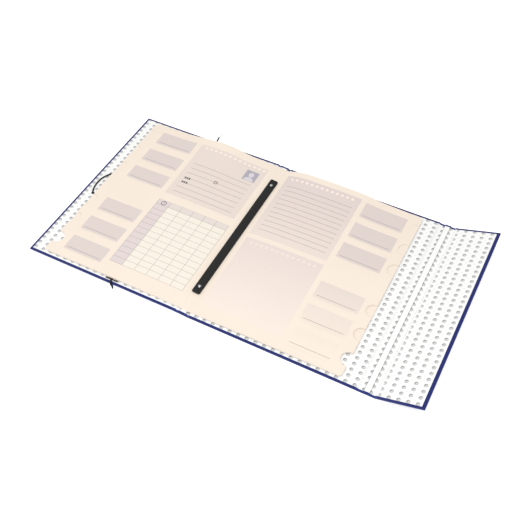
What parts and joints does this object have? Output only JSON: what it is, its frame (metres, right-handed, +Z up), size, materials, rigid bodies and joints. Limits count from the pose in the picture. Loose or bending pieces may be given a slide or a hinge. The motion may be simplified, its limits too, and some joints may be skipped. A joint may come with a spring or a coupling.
{
  "type": "multi-part sorting file",
  "caption": "Open hard-cover A4 sorting file: printed card divider leaves with thumb notches under a riveted binding bar, a fore-edge flap and an elastic cord.",
  "frame": {"origin": "middle of the back cover's outer face, which lies on the table", "axes": "+X from the spine to the flap, +Y along the hinge lines from the near edge to the far edge, +Z up"},
  "size_m": [0.599, 0.3461, 0.0236],
  "materials": {
    "covering": "laminated, satin",
    "greyboard": "raw",
    "lining": "printed, matt",
    "divider_card": "printed, matt",
    "bar_plastic": "moulded, fine texture",
    "rivet_metal": "nickel plated",
    "elastic": "braided over rubber",
    "barb_metal": "plain"
  },
  "bodies": {
    "back_cover": {"back_wrap": "covering", "back_board": "greyboard", "back_lining": "lining"},
    "spine": {"spine_wrap": "covering", "spine_turn_ins": "covering", "spine_board": "greyboard", "spine_lining": "lining", "sheet_fold_1": "divider_card", "sheet_fold_2": "divider_card", "sheet_fold_3": "divider_card", "sheet_fold_4": "divider_card", "sheet_fold_5": "divider_card", "sheet_fold_6": "divider_card", "left_margins": "divider_card", "right_margins": "divider_card", "binding_bar": "bar_plastic", "rivets": "rivet_metal"},
    "front_cover": {"front_wrap": "covering", "front_board": "greyboard", "front_lining": "lining", "elastic_cord": "elastic", "far_barb": "barb_metal", "near_barb": "barb_metal"},
    "fore_edge": {"fore_edge_wrap": "covering", "fore_edge_turn_ins": "covering", "fore_edge_board": "greyboard", "fore_edge_lining": "lining"},
    "flap": {"flap_wrap": "covering", "flap_board": "greyboard", "flap_lining": "lining"},
    "left_leaf_1": {"left_leaf_1": "divider_card"},
    "left_leaf_2": {"left_leaf_2": "divider_card"},
    "left_leaf_3": {"left_leaf_3": "divider_card"},
    "left_leaf_4": {"left_leaf_4": "divider_card"},
    "left_leaf_5": {"left_leaf_5": "divider_card"},
    "left_leaf_6": {"left_leaf_6": "divider_card"},
    "right_leaf_1": {"right_leaf_1": "divider_card"},
    "right_leaf_2": {"right_leaf_2": "divider_card"},
    "right_leaf_3": {"right_leaf_3": "divider_card"},
    "right_leaf_4": {"right_leaf_4": "divider_card"},
    "right_leaf_5": {"right_leaf_5": "divider_card"},
    "right_leaf_6": {"right_leaf_6": "divider_card"}
  },
  "joints": [
    {"name": "spine_hinge", "type": "hinge", "parent": "back_cover", "child": "spine", "pos_m": [-0.1236, 0, 0.00025], "axis": [0, -1, 0], "range_deg": [-84.59, 0], "deforming": ["left_margins", "right_margins"]},
    {"name": "front_hinge", "type": "hinge", "parent": "spine", "child": "front_cover", "pos_m": [-0.14471, 0, 0.00225], "axis": [0, -1, 0], "range_deg": [-95.42, 0]},
    {"name": "fore_edge_hinge", "type": "hinge", "parent": "back_cover", "child": "fore_edge", "pos_m": [0.1236, 0, 0.00025], "axis": [0, 1, 0], "range_deg": [-90, 0]},
    {"name": "flap_hinge", "type": "hinge", "parent": "fore_edge", "child": "flap", "pos_m": [0.1482, 0, 0.00025], "axis": [0, 1, 0], "range_deg": [-67.1, 18.9]},
    {"name": "left_leaf_1_crease", "type": "hinge", "parent": "front_cover", "child": "left_leaf_1", "pos_m": [-0.14521, 0, 0.00607], "axis": [0, 1, 0], "range_deg": [0, 90]},
    {"name": "left_leaf_2_crease", "type": "hinge", "parent": "front_cover", "child": "left_leaf_2", "pos_m": [-0.1455, 0, 0.00579], "axis": [0, 1, 0], "range_deg": [0, 75.01]},
    {"name": "left_leaf_3_crease", "type": "hinge", "parent": "front_cover", "child": "left_leaf_3", "pos_m": [-0.14579, 0, 0.00549], "axis": [0, 1, 0], "range_deg": [0, 60.01]},
    {"name": "left_leaf_4_crease", "type": "hinge", "parent": "front_cover", "child": "left_leaf_4", "pos_m": [-0.14608, 0, 0.00521], "axis": [0, 1, 0], "range_deg": [0, 45.01]},
    {"name": "left_leaf_5_crease", "type": "hinge", "parent": "front_cover", "child": "left_leaf_5", "pos_m": [-0.14637, 0, 0.00492], "axis": [0, 1, 0], "range_deg": [0, 30.01]},
    {"name": "left_leaf_6_crease", "type": "hinge", "parent": "front_cover", "child": "left_leaf_6", "pos_m": [-0.14666, 0, 0.00462], "axis": [0, 1, 0], "range_deg": [0, 15.01]},
    {"name": "right_leaf_1_crease", "type": "hinge", "parent": "back_cover", "child": "right_leaf_1", "pos_m": [-0.1231, 0, 0.00407], "axis": [0, -1, 0], "range_deg": [0, 90]},
    {"name": "right_leaf_2_crease", "type": "hinge", "parent": "back_cover", "child": "right_leaf_2", "pos_m": [-0.12281, 0, 0.00379], "axis": [0, -1, 0], "range_deg": [0, 75.01]},
    {"name": "right_leaf_3_crease", "type": "hinge", "parent": "back_cover", "child": "right_leaf_3", "pos_m": [-0.12252, 0, 0.00349], "axis": [0, -1, 0], "range_deg": [0, 60.01]},
    {"name": "right_leaf_4_crease", "type": "hinge", "parent": "back_cover", "child": "right_leaf_4", "pos_m": [-0.12223, 0, 0.0032], "axis": [0, -1, 0], "range_deg": [0, 45.01]},
    {"name": "right_leaf_5_crease", "type": "hinge", "parent": "back_cover", "child": "right_leaf_5", "pos_m": [-0.12194, 0, 0.00292], "axis": [0, -1, 0], "range_deg": [0, 30.01]},
    {"name": "right_leaf_6_crease", "type": "hinge", "parent": "back_cover", "child": "right_leaf_6", "pos_m": [-0.12165, 0, 0.00263], "axis": [0, -1, 0], "range_deg": [0, 15.01]}
  ],
  "couplings": [
    {"joint": "front_hinge", "follows": "spine_hinge", "ratio": 1.128},
    {"joint": "left_leaf_2_crease", "follows": "left_leaf_1_crease", "ratio": 0.83333},
    {"joint": "left_leaf_3_crease", "follows": "left_leaf_1_crease", "ratio": 0.66667},
    {"joint": "left_leaf_4_crease", "follows": "left_leaf_1_crease", "ratio": 0.5},
    {"joint": "left_leaf_5_crease", "follows": "left_leaf_1_crease", "ratio": 0.33333},
    {"joint": "left_leaf_6_crease", "follows": "left_leaf_1_crease", "ratio": 0.16667},
    {"joint": "right_leaf_2_crease", "follows": "right_leaf_1_crease", "ratio": 0.83333},
    {"joint": "right_leaf_3_crease", "follows": "right_leaf_1_crease", "ratio": 0.66667},
    {"joint": "right_leaf_4_crease", "follows": "right_leaf_1_crease", "ratio": 0.5},
    {"joint": "right_leaf_5_crease", "follows": "right_leaf_1_crease", "ratio": 0.33333},
    {"joint": "right_leaf_6_crease", "follows": "right_leaf_1_crease", "ratio": 0.16667}
  ]
}
